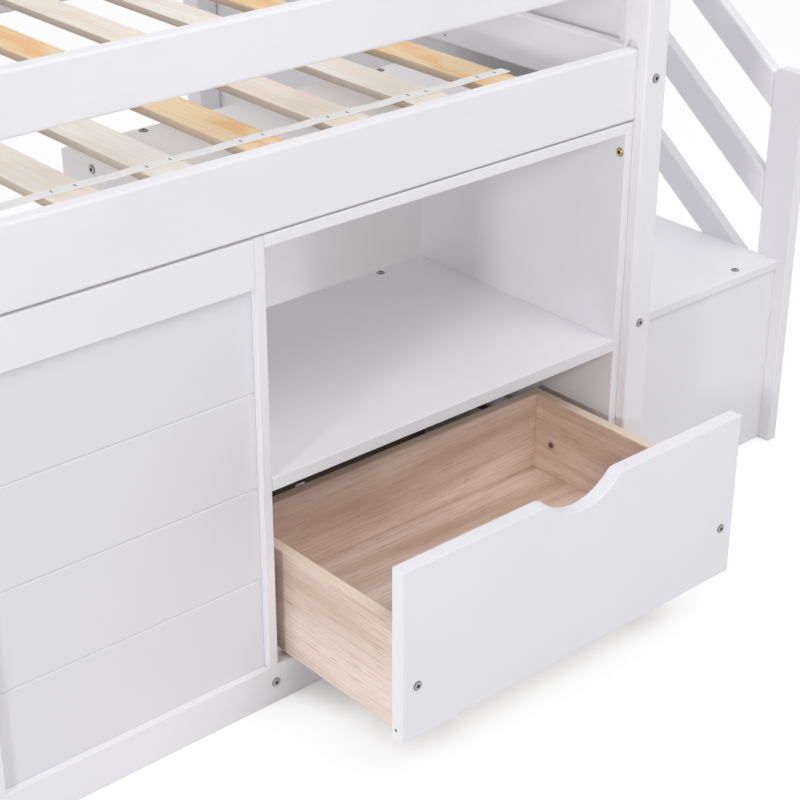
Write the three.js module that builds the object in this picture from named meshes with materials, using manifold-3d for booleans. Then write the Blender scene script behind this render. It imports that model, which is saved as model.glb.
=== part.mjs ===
// A low loft bed with stairs at its foot end and a shelf and drawer unit under its slatted deck.
// Millimetres, +Z up. Layout places are counted from the front foot post:
// x = 0 is its face towards the bed, y = 0 its front face and z = 0 the floor.

import * as THREE from "three";
import { mergeVertices } from "three/addons/utils/BufferGeometryUtils.js";
import Module from "manifold-3d";

// Fits between neighbours
const seatGap = 0.3;
const cutOverrun = 1;

// Posts
const postWidth = 45;
const postHeight = 1140;
const postEdgeRadius = 4;
const postEndBevel = 2.5;

// Bed frame
const bedLength = 2020;
const bedDepth = 1110;
const railThickness = 21.5;
const railSetback = 15.5;
const railEdgeRadius = 4;
const sideRailHeight = 102;
const sideRailRise = 16.5;
const housingDepth = 6;
const endRailHeight = 77;
const endRailRise = 13;
const guardDrop = 30.5;
// Each guard rail fills this part of the height between the side rail and the top of the guard
const guardRailShare = 0.2241;

// Slatted deck
const deckHeight = 765;
const slatWidth = 60;
const slatThickness = 12;
const slatEdgeRadius = 1.5;
const slatEndPlay = 4;
const slatStep = 133;
const lastSlatInset = 184;
const ledgeWidth = 22;
const ledgeHeight = 22;
const strapWidth = 19;
const strapThickness = 1.2;
const strapInset = 56;
const strapOverhang = 7;
// Slats are stapled by hand, so the steps between them differ a little
const slatStepShares = [0.93, 1.01, 1.02, 1.03, 0.98, 1.1, 1.1, 1.1, 1.1, 1.1, 1.1];

// Shelf and drawer unit
const panelThickness = 15;
const panelEdgeRadius = 1;
const unitWidth = 665.5;
const unitDepth = 428;
const unitRailSeam = 2;
const shelfThickness = 18.6;
const shelfTop = 345;
const stretcherHeight = 75;

// Plank section beside the unit
const plinthHeight = 59;
const plankBayWidth = 401;
const plankRecess = 10;
const plankThickness = 12;
const lowestPlankHeight = 137;
const plankPitch = 136.4;
const plankGrooves = 3;
const plankGrooveWidth = 3.2;
const plankGrooveDepth = 2.2;
const plankTopRailHeight = 64.5;
const plankSeam = 1;
const stileWidth = 60;

// Drawer
const drawerTravel = 248.8;
const drawerFrontGap = 4.6;
const drawerFrontLift = 7;
const drawerFrontHeight = 253.5;
const drawerFrontEdge = 1.5;
const scoopWidth = 133;
const scoopDepth = 31;
const scoopCornerEase = 9;
const drawerBoard = 17;
const drawerBoxHeight = 157.5;
const drawerBoxDepth = 361.4;
const drawerSideGap = 19.5;
const drawerEdgeRadius = 2;
const drawerBottomThickness = 5;
const drawerBottomLift = 25;
const drawerGrooveDepth = 5;

// Drawer runners
const runnerLength = 360;
const slideLength = 100;
const runnerStart = 24.5;
const runnerHeight = 45;
const runnerTopDrop = 50;
const channelWidth = 12;
const channelSheet = 1.5;
const slidePlateThickness = 2.4;
const slidePlay = 0.3;

// Stairs
const stairPanelsWidth = 394.7;
const stairSetback = 71.8;
const firstTreadTop = 330;
const stepRun = 283;
const treadThickness = 18;
const treadEdgeRadius = 4;
const treadOverhang = 4;
const newelThickness = 20;
const newelWidth = 61;
const newelSetback = 54;
const newelTop = 647;
const newelCornerRadius = 15;
const newelEdge = 2;
const stairRailCount = 3;
const stairRailThickness = 20;
const stairRailWidth = 48;
const stairRailEdge = 4;
const stairRailSpacing = 170;
const stairRailDrop = 9;
const middleNewelLead = 16;
const landingRailCount = 2;

// Fineness of round edges
const edgeSteps = 2;
const scoopSteps = 12;
const housingSteps = 8;

// Places that several pieces share
const railFront = railSetback;
const railBack = railSetback + railThickness;
const backRailFront = bedDepth - railBack;
const headPostRight = -(bedLength - postWidth - postWidth);
const headPostLeft = headPostRight - postWidth;
const footRailLeft = postWidth - railBack;
const headRailLeft = headPostLeft + railSetback;
const sideRailTop = deckHeight + sideRailRise;
const sideRailBottom = sideRailTop - sideRailHeight;
const endRailBottom = deckHeight + endRailRise - endRailHeight;
const guardTop = postHeight - guardDrop;
const guardRailHeight = guardRailShare * (guardTop - sideRailTop);
const upperGuardBottom = guardTop - guardRailHeight;
const guardRailBottom = (sideRailTop + guardTop) / 2 - guardRailHeight;

const unitTop = sideRailBottom - unitRailSeam;
const bayLeft = -unitWidth + panelThickness;
const bayRight = -panelThickness;
const plankBayLeft = -unitWidth - plankBayWidth;

const drawerFrontWidth = bayRight - bayLeft - 2 * drawerFrontGap;
const drawerFrontBottom = plinthHeight + drawerFrontLift;
const drawerFrontBack = railFront + railThickness - drawerTravel;
const drawerBoxLeft = bayLeft + drawerSideGap;
const drawerBoxRight = bayRight - drawerSideGap;
const drawerBoxBack = drawerFrontBack + drawerBoxDepth;
const drawerBoxTop = drawerFrontBottom + drawerBoxHeight;
const drawerFloor = drawerFrontBottom + drawerBottomLift;
const runnerBottom = drawerBoxTop - runnerTopDrop - runnerHeight;

const stairLeft = postWidth + seatGap;
const stairRight = stairLeft + stairPanelsWidth;
const stepRise = (deckHeight - firstTreadTop) / 2;
const secondTreadTop = firstTreadTop + stepRise;
const secondRiserFront = stairSetback + stepRun;
const thirdRiserFront = secondRiserFront + stepRun;
const newelLeft = stairRight + seatGap;
const newelBack = newelSetback + newelWidth;
const middleNewelFront = thirdRiserFront - middleNewelLead;
const middleNewelBack = middleNewelFront + newelWidth;
const backNewelFront = bedDepth - newelWidth;
const stairSlope = stepRise / stepRun;
const stairRailRise = stairRailWidth * Math.hypot(1, stairSlope);
const middleNewelTop = newelTop + stairSlope * (middleNewelFront - newelBack);

// Materials
function finish(colour, roughness, metalness = 0) {
  return new THREE.MeshStandardMaterial({ color: colour, roughness, metalness });
}
const whitePaint = finish(0xe9e8ec, 0.45);
const paleSlatWood = finish(0xe8d9c4, 0.75);
const warmSlatWood = finish(0xe5bd8c, 0.75);
const webbing = finish(0xeeece6, 0.9);
const oakLaminate = finish(0xc9ab92, 0.6);
const zincSteel = finish(0x8d8f92, 0.4, 0.9);

// Directions in which a piece is extruded from its outline
const xAxis = new THREE.Vector3(1, 0, 0);
const yAxis = new THREE.Vector3(0, 1, 0);
const zAxis = new THREE.Vector3(0, 0, 1);
// The outline is drawn in y and z, and the piece runs towards +x
const towardsRight = new THREE.Matrix4().makeBasis(yAxis, zAxis, xAxis);
// The outline is drawn in x and z, and the piece runs towards the front, -y
const towardsFront = new THREE.Matrix4().makeBasis(xAxis, zAxis, yAxis.clone().negate());
// The outline is drawn in x and y, and the piece runs up
const upwards = new THREE.Matrix4();

// A polygon through the given corners
function polygon(corners) {
  return new THREE.Shape(corners.map(([u, v]) => new THREE.Vector2(u, v)));
}

// A rectangle from the origin, with all corners rounded
function roundedRectangle(width, height, radius) {
  const shape = new THREE.Shape();
  shape.absarc(width - radius, radius, radius, -Math.PI / 2, 0);
  shape.absarc(width - radius, height - radius, radius, 0, Math.PI / 2);
  shape.absarc(radius, height - radius, radius, Math.PI / 2, Math.PI);
  shape.absarc(radius, radius, radius, Math.PI, 1.5 * Math.PI);
  shape.closePath();
  return shape;
}

// An outline of the given width, turned left to right
function mirrored(outline, width) {
  const points = outline.getPoints(edgeSteps).map((point) => new THREE.Vector2(width - point.x, point.y));
  return new THREE.Shape(points.reverse());
}

// A solid of the given length, with an optional round edge at both ends
function extrude(outline, length, endEdge = 0, curveSteps = edgeSteps) {
  const geometry = new THREE.ExtrudeGeometry(outline, {
    depth: length - 2 * endEdge,
    bevelEnabled: endEdge > 0,
    bevelThickness: endEdge,
    bevelSize: endEdge,
    bevelOffset: -endEdge,
    bevelSegments: edgeSteps,
    curveSegments: curveSteps,
  });
  return geometry.translate(0, 0, endEdge);
}

const wasm = await Module();
wasm.setup();

function solidOf(geometry) {
  const bare = geometry.clone();
  bare.deleteAttribute("normal");
  bare.deleteAttribute("uv");
  const merged = mergeVertices(bare);
  return new wasm.Manifold(
    new wasm.Mesh({
      numProp: 3,
      vertProperties: merged.attributes.position.array,
      triVerts: new Uint32Array(merged.index.array),
    }),
  );
}

// The first geometry with the space of the second taken away
function cut(geometry, tool) {
  const { vertProperties, triVerts } = solidOf(geometry).subtract(solidOf(tool)).getMesh();
  const result = new THREE.BufferGeometry();
  result.setAttribute("position", new THREE.BufferAttribute(vertProperties, 3));
  result.setIndex(new THREE.BufferAttribute(triVerts, 1));
  const faceted = result.toNonIndexed();
  faceted.computeVertexNormals();
  return faceted;
}

// A named mesh whose outline origin is put at a place
function piece(group, name, geometry, material, direction, x, y, z) {
  const mesh = new THREE.Mesh(geometry, material);
  mesh.name = name;
  mesh.setRotationFromMatrix(direction);
  mesh.position.set(x, y, z);
  group.add(mesh);
  return mesh;
}

// A straight board between two x places
function boardAlongX(group, name, material, left, right, front, bottom, thickness, height, radius) {
  const geometry = extrude(roundedRectangle(thickness, height, radius), right - left);
  piece(group, name, geometry, material, towardsRight, left, front, bottom);
}

// A straight board between two y places
function boardAlongY(group, name, material, front, back, left, bottom, thickness, height, radius) {
  const geometry = extrude(roundedRectangle(thickness, height, radius), back - front);
  piece(group, name, geometry, material, towardsFront, left, back, bottom);
}

// The routed housing for a side rail's end, whose top keeps the round of the cutter
function housingOutline() {
  const width = railThickness + 2 * seatGap;
  const straight = sideRailHeight + 2 * seatGap;
  const shape = new THREE.Shape();
  shape.moveTo(0, 0);
  shape.lineTo(width, 0);
  shape.lineTo(width, straight);
  shape.absarc(width / 2, straight, width / 2, 0, Math.PI);
  shape.closePath();
  return shape;
}

// Four square posts with eased edges, and a housing in each for its side rail
function addPosts(group) {
  const post = extrude(roundedRectangle(postWidth, postWidth, postEdgeRadius), postHeight, postEndBevel);
  const columns = { foot: 0, head: headPostLeft };
  const rows = { front: 0, back: bedDepth - postWidth };
  const housingLeft = { foot: -cutOverrun, head: postWidth - housingDepth };
  const housingFront = { front: railFront - seatGap, back: backRailFront - seatGap - rows.back };
  const housing = extrude(housingOutline(), housingDepth + cutOverrun, 0, housingSteps);
  housing.applyMatrix4(towardsRight);
  for (const [end, x] of Object.entries(columns)) {
    for (const [side, y] of Object.entries(rows)) {
      const space = housing.clone().translate(housingLeft[end], housingFront[side], sideRailBottom - seatGap);
      piece(group, `${side}_${end}_post`, cut(post, space), whitePaint, upwards, x, y, 0);
    }
  }
}

// A side rail's section, with the ledge for the slats glued to its inner face
function sideRailOutline() {
  const ledgeTop = deckHeight - slatThickness - seatGap - sideRailBottom;
  const ledgeEnd = railThickness + ledgeWidth;
  const inset = railThickness - railEdgeRadius;
  const high = sideRailHeight - railEdgeRadius;
  const shape = new THREE.Shape();
  shape.absarc(inset, railEdgeRadius, railEdgeRadius, -Math.PI / 2, 0);
  shape.lineTo(railThickness, ledgeTop - ledgeHeight);
  shape.lineTo(ledgeEnd, ledgeTop - ledgeHeight);
  shape.lineTo(ledgeEnd, ledgeTop);
  shape.lineTo(railThickness, ledgeTop);
  shape.absarc(inset, high, railEdgeRadius, 0, Math.PI / 2);
  shape.absarc(railEdgeRadius, high, railEdgeRadius, Math.PI / 2, Math.PI);
  shape.absarc(railEdgeRadius, railEdgeRadius, railEdgeRadius, Math.PI, 1.5 * Math.PI);
  shape.closePath();
  return shape;
}

// A side rail whose ends reach into the posts' housings, and whose ledge ends at the posts
function housedRail(outline, ledgeStart) {
  const length = 2 * (housingDepth - seatGap) - headPostRight;
  const cutWidth = ledgeWidth + cutOverrun;
  const ledgeEnd = new THREE.BoxGeometry(cutWidth, sideRailHeight + cutOverrun, 2 * housingDepth);
  ledgeEnd.translate(ledgeStart + cutWidth / 2, sideRailHeight / 2, 0);
  const rail = cut(extrude(outline, length), ledgeEnd);
  return cut(rail, ledgeEnd.translate(0, 0, length));
}

// Side rails that carry the slats, and two guard rails above each of them
function addSideRails(group) {
  const left = headPostRight + seatGap;
  const right = -seatGap;
  const outline = sideRailOutline();
  const frontRail = housedRail(outline, railThickness);
  const backRail = housedRail(mirrored(outline, railThickness), -ledgeWidth - cutOverrun);
  const housedLeft = headPostRight - housingDepth + seatGap;
  piece(group, "front_side_rail", frontRail, whitePaint, towardsRight, housedLeft, railFront, sideRailBottom);
  piece(
    group, "back_side_rail", backRail, whitePaint, towardsRight,
    housedLeft, backRailFront, sideRailBottom,
  );
  for (const [level, bottom] of Object.entries({ lower: guardRailBottom, upper: upperGuardBottom })) {
    for (const [side, front] of Object.entries({ front: railFront, back: backRailFront })) {
      boardAlongX(
        group, `${side}_${level}_guard_rail`, whitePaint, left, right, front, bottom,
        railThickness, guardRailHeight, railEdgeRadius,
      );
    }
  }
}

// Rails across the bed between the posts of each end
function addEndRails(group) {
  const front = postWidth + seatGap;
  const back = bedDepth - postWidth - seatGap;
  const rails = {
    foot_rail: [footRailLeft, endRailBottom, endRailHeight],
    head_rail: [headRailLeft, endRailBottom, endRailHeight],
    head_lower_guard_rail: [headRailLeft, guardRailBottom, guardRailHeight],
    head_upper_guard_rail: [headRailLeft, upperGuardBottom, guardRailHeight],
  };
  for (const [name, [left, bottom, height]] of Object.entries(rails)) {
    boardAlongY(group, name, whitePaint, front, back, left, bottom, railThickness, height, railEdgeRadius);
  }
}

// Slats on the ledges, held at their steps by two straps of webbing
function addDeck(group) {
  const slatBottom = deckHeight - slatThickness;
  const slatFront = railBack + slatEndPlay;
  const slatBack = backRailFront - slatEndPlay;
  const lastSlatLeft = footRailLeft - lastSlatInset - slatWidth;
  let left = lastSlatLeft;
  for (let number = slatStepShares.length + 1; number >= 1; number -= 1) {
    const wood = number % 3 === 0 ? warmSlatWood : paleSlatWood;
    const name = `slat_${String(number).padStart(2, "0")}`;
    boardAlongY(
      group, name, wood, slatFront, slatBack, left, slatBottom, slatWidth, slatThickness, slatEdgeRadius,
    );
    if (number > 1) left -= slatStep * slatStepShares[slatStepShares.length + 1 - number];
  }
  const strapLeft = left - strapOverhang;
  const strapRight = lastSlatLeft + slatWidth + strapOverhang;
  const strapFronts = {
    front: railBack + strapInset,
    back: backRailFront - strapInset - strapWidth,
  };
  const strapOutline = polygon([[0, 0], [strapWidth, 0], [strapWidth, strapThickness], [0, strapThickness]]);
  for (const [side, front] of Object.entries(strapFronts)) {
    const strap = extrude(strapOutline, strapRight - strapLeft);
    piece(group, `${side}_strap`, strap, webbing, towardsRight, strapLeft, front, deckHeight + seatGap);
  }
}

// The top panel's section, with the stretcher glued under its back edge
function topPanelOutline() {
  const inner = unitDepth - panelThickness;
  const high = stretcherHeight + panelThickness - panelEdgeRadius;
  const shape = new THREE.Shape();
  shape.moveTo(inner, stretcherHeight);
  shape.lineTo(inner, 0);
  shape.lineTo(unitDepth, 0);
  shape.absarc(unitDepth - panelEdgeRadius, high, panelEdgeRadius, 0, Math.PI / 2);
  shape.absarc(panelEdgeRadius, high, panelEdgeRadius, Math.PI / 2, Math.PI);
  shape.absarc(panelEdgeRadius, stretcherHeight + panelEdgeRadius, panelEdgeRadius, Math.PI, 1.5 * Math.PI);
  shape.closePath();
  return shape;
}

// Shelf and drawer unit: two side panels that stand behind the plinth, a top panel, a shelf,
// and a back panel behind the drawer only
function addUnit(group) {
  const notchDepth = railThickness + seatGap;
  const notchHeight = plinthHeight + seatGap;
  const side = polygon([
    [notchDepth, 0],
    [unitDepth, 0],
    [unitDepth, unitTop],
    [0, unitTop],
    [0, notchHeight],
    [notchDepth, notchHeight],
  ]);
  const sidePanel = extrude(side, panelThickness - seatGap, panelEdgeRadius);
  piece(group, "unit_left_side", sidePanel, whitePaint, towardsRight, -unitWidth + seatGap, railFront, 0);
  piece(group, "unit_right_side", sidePanel, whitePaint, towardsRight, bayRight, railFront, 0);
  const left = bayLeft + seatGap;
  const right = bayRight - seatGap;
  const topPanel = extrude(topPanelOutline(), right - left);
  const topPanelBottom = unitTop - panelThickness - stretcherHeight;
  piece(group, "unit_top_panel", topPanel, whitePaint, towardsRight, left, railFront, topPanelBottom);
  const shelfBottom = shelfTop - shelfThickness;
  boardAlongX(
    group, "unit_shelf", whitePaint, left, right, railFront, shelfBottom,
    unitDepth, shelfThickness, panelEdgeRadius,
  );
  boardAlongX(
    group, "unit_lower_back", whitePaint, left, right, railFront + unitDepth - panelThickness, 0,
    panelThickness, shelfBottom - seatGap, panelEdgeRadius,
  );
}

// Plank section: a frame of stile, top rail and plinth, and a grooved panel set back in it.
// The plinth runs on under the shelf and drawer unit.
function addPlankSection(group) {
  const stileRight = plankBayLeft - seatGap;
  const frameLeft = stileRight - stileWidth;
  const frameWidth = -seatGap - frameLeft;
  const topRailWidth = -unitWidth - frameLeft;
  const frameTop = unitTop - plankSeam;
  const topRailBottom = frameTop - plankTopRailHeight;
  const frame = polygon([
    [0, 0],
    [frameWidth, 0],
    [frameWidth, plinthHeight],
    [stileWidth, plinthHeight],
    [stileWidth, topRailBottom],
    [topRailWidth, topRailBottom],
    [topRailWidth, frameTop],
    [0, frameTop],
  ]);
  const frameBoard = extrude(frame, railThickness, panelEdgeRadius);
  piece(group, "plank_frame", frameBoard, whitePaint, towardsFront, frameLeft, railBack, 0);

  const left = stileRight + seatGap;
  const right = -unitWidth;
  const panelBottom = plinthHeight + seatGap;
  const panelTop = topRailBottom - seatGap;
  const corners = [
    [plankThickness, 0],
    [plankThickness, panelTop - panelBottom],
    [0, panelTop - panelBottom],
  ];
  for (let groove = plankGrooves - 1; groove >= 0; groove -= 1) {
    const middle = lowestPlankHeight + groove * plankPitch - seatGap;
    corners.push([0, middle + plankGrooveWidth / 2]);
    corners.push([plankGrooveDepth, middle]);
    corners.push([0, middle - plankGrooveWidth / 2]);
  }
  corners.push([0, 0]);
  const panel = extrude(polygon(corners), right - left);
  piece(group, "plank_panel", panel, whitePaint, towardsRight, left, railFront + plankRecess, panelBottom);
}

// Drawer front with a scooped finger cut-out in its top edge
function drawerFrontOutline() {
  const middle = drawerFrontWidth / 2;
  const radius = (scoopWidth ** 2 / 4 + scoopDepth ** 2) / (2 * scoopDepth);
  const centre = drawerFrontHeight - scoopDepth + radius;
  const halfAngle = Math.asin(scoopWidth / 2 / radius) - scoopCornerEase / radius;
  const easeStart = scoopWidth / 2 + scoopCornerEase;
  const arcX = radius * Math.sin(halfAngle);
  const arcZ = centre - radius * Math.cos(halfAngle);
  const shape = new THREE.Shape();
  shape.moveTo(0, 0);
  shape.lineTo(drawerFrontWidth, 0);
  shape.lineTo(drawerFrontWidth, drawerFrontHeight);
  shape.lineTo(middle + easeStart, drawerFrontHeight);
  shape.quadraticCurveTo(middle + scoopWidth / 2, drawerFrontHeight, middle + arcX, arcZ);
  shape.absarc(middle, centre, radius, halfAngle - Math.PI / 2, -halfAngle - Math.PI / 2, true);
  shape.quadraticCurveTo(middle - scoopWidth / 2, drawerFrontHeight, middle - easeStart, drawerFrontHeight);
  shape.lineTo(0, drawerFrontHeight);
  shape.closePath();
  return shape;
}

// A drawer board's section, with the groove that holds the bottom panel in its right-hand face
function groovedOutline() {
  const grooveBottom = drawerBottomLift - seatGap;
  const grooveTop = drawerBottomLift + drawerBottomThickness + seatGap;
  const floorOfGroove = drawerBoard - drawerGrooveDepth;
  const shape = new THREE.Shape();
  shape.moveTo(0, 0);
  shape.lineTo(drawerBoard, 0);
  shape.lineTo(drawerBoard, grooveBottom);
  shape.lineTo(floorOfGroove, grooveBottom);
  shape.lineTo(floorOfGroove, grooveTop);
  shape.lineTo(drawerBoard, grooveTop);
  const high = drawerBoxHeight - drawerEdgeRadius;
  shape.absarc(drawerBoard - drawerEdgeRadius, high, drawerEdgeRadius, 0, Math.PI / 2);
  shape.absarc(drawerEdgeRadius, high, drawerEdgeRadius, Math.PI / 2, Math.PI);
  shape.closePath();
  return shape;
}

// Drawer, pulled out to its stop
function addDrawer(group) {
  const frontLeft = bayLeft + drawerFrontGap;
  const bottomLeft = drawerBoxLeft + drawerBoard - drawerGrooveDepth + seatGap;
  const bottomRight = drawerBoxRight - drawerBoard + drawerGrooveDepth - seatGap;
  const bottomFront = drawerFrontBack - drawerGrooveDepth + seatGap;
  const bottomBack = drawerBoxBack - drawerBoard + drawerGrooveDepth - seatGap;

  const frontGroove = new THREE.BoxGeometry(
    bottomRight - bottomLeft + 2 * seatGap,
    drawerBottomThickness + 2 * seatGap,
    drawerGrooveDepth + cutOverrun,
  );
  frontGroove.translate(
    (bottomLeft + bottomRight) / 2 - frontLeft,
    drawerBottomLift + drawerBottomThickness / 2,
    (drawerGrooveDepth - cutOverrun) / 2,
  );
  const frontBoard = extrude(drawerFrontOutline(), railThickness, drawerFrontEdge, scoopSteps);
  const front = cut(frontBoard, frontGroove);
  const floor = drawerFrontBottom;
  piece(group, "drawer_front", front, whitePaint, towardsFront, frontLeft, drawerFrontBack, floor);

  const rightGrooved = groovedOutline();
  const leftGrooved = mirrored(rightGrooved, drawerBoard);
  const sideLength = drawerBoxDepth - seatGap;
  const leftSide = extrude(rightGrooved, sideLength);
  const rightSide = extrude(leftGrooved, sideLength);
  const back = extrude(leftGrooved, drawerBoxRight - drawerBoxLeft - 2 * (drawerBoard + seatGap));
  const rightLeft = drawerBoxRight - drawerBoard;
  const backLeft = drawerBoxLeft + drawerBoard + seatGap;
  const backFront = drawerBoxBack - drawerBoard;
  piece(group, "drawer_left_side", leftSide, oakLaminate, towardsFront, drawerBoxLeft, drawerBoxBack, floor);
  piece(group, "drawer_right_side", rightSide, oakLaminate, towardsFront, rightLeft, drawerBoxBack, floor);
  // Turned to run along x, the groove in the left-hand face looks towards the drawer front
  piece(group, "drawer_back", back, oakLaminate, towardsRight, backLeft, backFront, floor);

  const bottom = extrude(
    polygon([
      [0, 0],
      [bottomRight - bottomLeft, 0],
      [bottomRight - bottomLeft, drawerBottomThickness],
      [0, drawerBottomThickness],
    ]),
    bottomBack - bottomFront,
  );
  piece(group, "drawer_bottom", bottom, oakLaminate, towardsFront, bottomLeft, bottomBack, drawerFloor);
}

// Runners: a steel channel on each side of the bay, and a short slide that runs in it
// at the back of each drawer side
function addRunners(group) {
  const channelRight = polygon([
    [0, 0],
    [channelWidth, 0],
    [channelWidth, runnerHeight],
    [0, runnerHeight],
    [0, runnerHeight - channelSheet],
    [channelWidth - channelSheet, runnerHeight - channelSheet],
    [channelWidth - channelSheet, channelSheet],
    [0, channelSheet],
  ]);
  const channelLeft = mirrored(channelRight, channelWidth);
  const channelBack = railFront + runnerStart + runnerLength;
  const rightChannelLeft = bayRight - seatGap - channelWidth;
  const rightChannel = extrude(channelRight, runnerLength);
  const leftChannel = extrude(channelLeft, runnerLength);
  piece(
    group, "right_runner_channel", rightChannel, zincSteel, towardsFront,
    rightChannelLeft, channelBack, runnerBottom,
  );
  piece(
    group, "left_runner_channel", leftChannel, zincSteel, towardsFront,
    bayLeft + seatGap, channelBack, runnerBottom,
  );

  // A plate on the drawer side, and a bar that reaches into the channel between its flanges
  const slideWidth = drawerSideGap - seatGap - channelSheet - slidePlay - seatGap;
  const barBottom = channelSheet + slidePlay;
  const barTop = runnerHeight - barBottom;
  const slideRight = polygon([
    [0, 0],
    [slidePlateThickness, 0],
    [slidePlateThickness, barBottom],
    [slideWidth, barBottom],
    [slideWidth, barTop],
    [slidePlateThickness, barTop],
    [slidePlateThickness, runnerHeight],
    [0, runnerHeight],
  ]);
  const slideLeft = mirrored(slideRight, slideWidth);
  const leftSlideLeft = drawerBoxLeft - seatGap - slideWidth;
  piece(
    group, "right_drawer_slide", extrude(slideRight, slideLength), zincSteel, towardsFront,
    drawerBoxRight + seatGap, drawerBoxBack, runnerBottom,
  );
  piece(
    group, "left_drawer_slide", extrude(slideLeft, slideLength), zincSteel, towardsFront,
    leftSlideLeft, drawerBoxBack, runnerBottom,
  );
}

// Stair carcass: side panels, front panel, risers, treads and the landing level with the deck.
// Each tread overhangs the board under its front edge.
function addStairCarcass(group) {
  const treadBottom = firstTreadTop - treadThickness;
  const secondBottom = secondTreadTop - treadThickness;
  const landingBottom = deckHeight - treadThickness;
  const boardBack = treadOverhang + panelThickness;
  const panelFront = stairSetback + boardBack + seatGap;
  const secondPanelFront = secondRiserFront + boardBack + seatGap;
  const thirdPanelFront = thirdRiserFront + boardBack + seatGap;
  const outer = polygon([
    [panelFront, 0],
    [bedDepth, 0],
    [bedDepth, landingBottom - seatGap],
    [thirdPanelFront, landingBottom - seatGap],
    [thirdPanelFront, secondBottom - seatGap],
    [secondPanelFront, secondBottom - seatGap],
    [secondPanelFront, treadBottom - seatGap],
    [panelFront, treadBottom - seatGap],
  ]);
  const outerPanel = extrude(outer, panelThickness, panelEdgeRadius);
  piece(group, "stair_outer_panel", outerPanel, whitePaint, towardsRight, stairRight - panelThickness, 0, 0);
  // The inner panel is also the guard between the steps and the bed
  const inner = polygon([
    [panelFront, 0],
    [bedDepth, 0],
    [bedDepth, landingBottom - seatGap],
    [thirdRiserFront - seatGap, landingBottom - seatGap],
    [thirdRiserFront - seatGap, guardTop],
    [panelFront, guardTop],
  ]);
  const innerPanel = extrude(inner, panelThickness, panelEdgeRadius);
  piece(group, "stair_inner_panel", innerPanel, whitePaint, towardsRight, stairLeft, 0, 0);

  boardAlongX(
    group, "stair_front_panel", whitePaint, stairLeft, stairRight, stairSetback + treadOverhang, 0,
    panelThickness, treadBottom - seatGap, panelEdgeRadius,
  );
  const treadLeft = stairLeft + panelThickness + seatGap;
  const steps = [
    ["stair_first_tread", treadLeft, stairSetback, secondRiserFront + boardBack, treadBottom],
    ["stair_second_tread", treadLeft, secondRiserFront, thirdRiserFront + boardBack, secondBottom],
    ["stair_landing", stairLeft, thirdRiserFront, bedDepth, landingBottom],
  ];
  for (const [name, left, front, back, bottom] of steps) {
    const section = roundedRectangle(back - front, treadThickness, treadEdgeRadius);
    const tread = extrude(section, stairRight - left);
    piece(group, name, tread, whitePaint, towardsRight, left, front, bottom);
  }
  const risers = [
    ["stair_second_riser", secondRiserFront, firstTreadTop, secondBottom],
    ["stair_third_riser", thirdRiserFront, secondTreadTop, landingBottom],
  ];
  for (const [name, front, below, above] of risers) {
    boardAlongX(
      group, name, whitePaint, treadLeft, stairRight, front + treadOverhang, below + seatGap,
      panelThickness, above - below - 2 * seatGap, panelEdgeRadius,
    );
  }
}

// A flat newel on the outer panel, with rounded top corners
function newelOutline(height) {
  const shape = new THREE.Shape();
  shape.moveTo(0, 0);
  shape.lineTo(newelWidth, 0);
  shape.absarc(newelWidth - newelCornerRadius, height - newelCornerRadius, newelCornerRadius, 0, Math.PI / 2);
  shape.absarc(newelCornerRadius, height - newelCornerRadius, newelCornerRadius, Math.PI / 2, Math.PI);
  shape.closePath();
  return shape;
}

// Newels, the sloped rails between the first two and the level rails beside the landing
function addStairRails(group) {
  const newels = [
    ["front_newel", newelSetback, newelTop],
    ["middle_newel", middleNewelFront, middleNewelTop],
    ["back_newel", backNewelFront, middleNewelTop],
  ];
  for (const [name, front, height] of newels) {
    const newel = extrude(newelOutline(height), newelThickness, newelEdge, 2 * edgeSteps);
    piece(group, name, newel, whitePaint, towardsRight, newelLeft, front, 0);
  }
  const lowEnd = newelBack + seatGap;
  const highEnd = middleNewelFront - seatGap;
  const climb = stairSlope * (highEnd - lowEnd);
  const slopedOutline = polygon([
    [0, 0],
    [highEnd - lowEnd, climb],
    [highEnd - lowEnd, climb + stairRailRise],
    [0, stairRailRise],
  ]);
  const slopedRail = extrude(slopedOutline, stairRailThickness, stairRailEdge);
  const topLowEnd = newelTop - stairRailDrop - stairRailRise;
  for (let number = 0; number < stairRailCount; number += 1) {
    const name = `stair_rail_${stairRailCount - number}`;
    const bottom = topLowEnd - number * stairRailSpacing;
    piece(group, name, slopedRail, whitePaint, towardsRight, newelLeft, lowEnd, bottom);
  }
  const levelLeft = middleNewelBack + seatGap;
  const levelRail = extrude(
    polygon([
      [0, 0],
      [backNewelFront - seatGap - levelLeft, 0],
      [backNewelFront - seatGap - levelLeft, stairRailWidth],
      [0, stairRailWidth],
    ]),
    stairRailThickness,
    stairRailEdge,
  );
  const topLevelRail = middleNewelTop - stairRailDrop - stairRailWidth;
  for (let number = 0; number < landingRailCount; number += 1) {
    const name = `landing_rail_${landingRailCount - number}`;
    const bottom = topLevelRail - number * stairRailSpacing;
    piece(group, name, levelRail, whitePaint, towardsRight, newelLeft, levelLeft, bottom);
  }
}

// The layout is shifted so that the origin is at the middle of the floor under the whole object
const layout = new THREE.Group();
addPosts(layout);
addSideRails(layout);
addEndRails(layout);
addDeck(layout);
addUnit(layout);
addPlankSection(layout);
addDrawer(layout);
addRunners(layout);
addStairCarcass(layout);
addStairRails(layout);

const newelRight = newelLeft + newelThickness;
const drawerFace = drawerFrontBack - railThickness;
layout.position.set(-(headPostLeft + newelRight) / 2, -(drawerFace + bedDepth) / 2, 0);

const lowLoftBed = new THREE.Group();
lowLoftBed.add(layout);

export default lowLoftBed;
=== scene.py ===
"""Looks of a low loft bed: white lacquered timber, bare pine slats and an oak-look drawer.
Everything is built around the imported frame, in metres, with +Z up."""

import math

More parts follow.
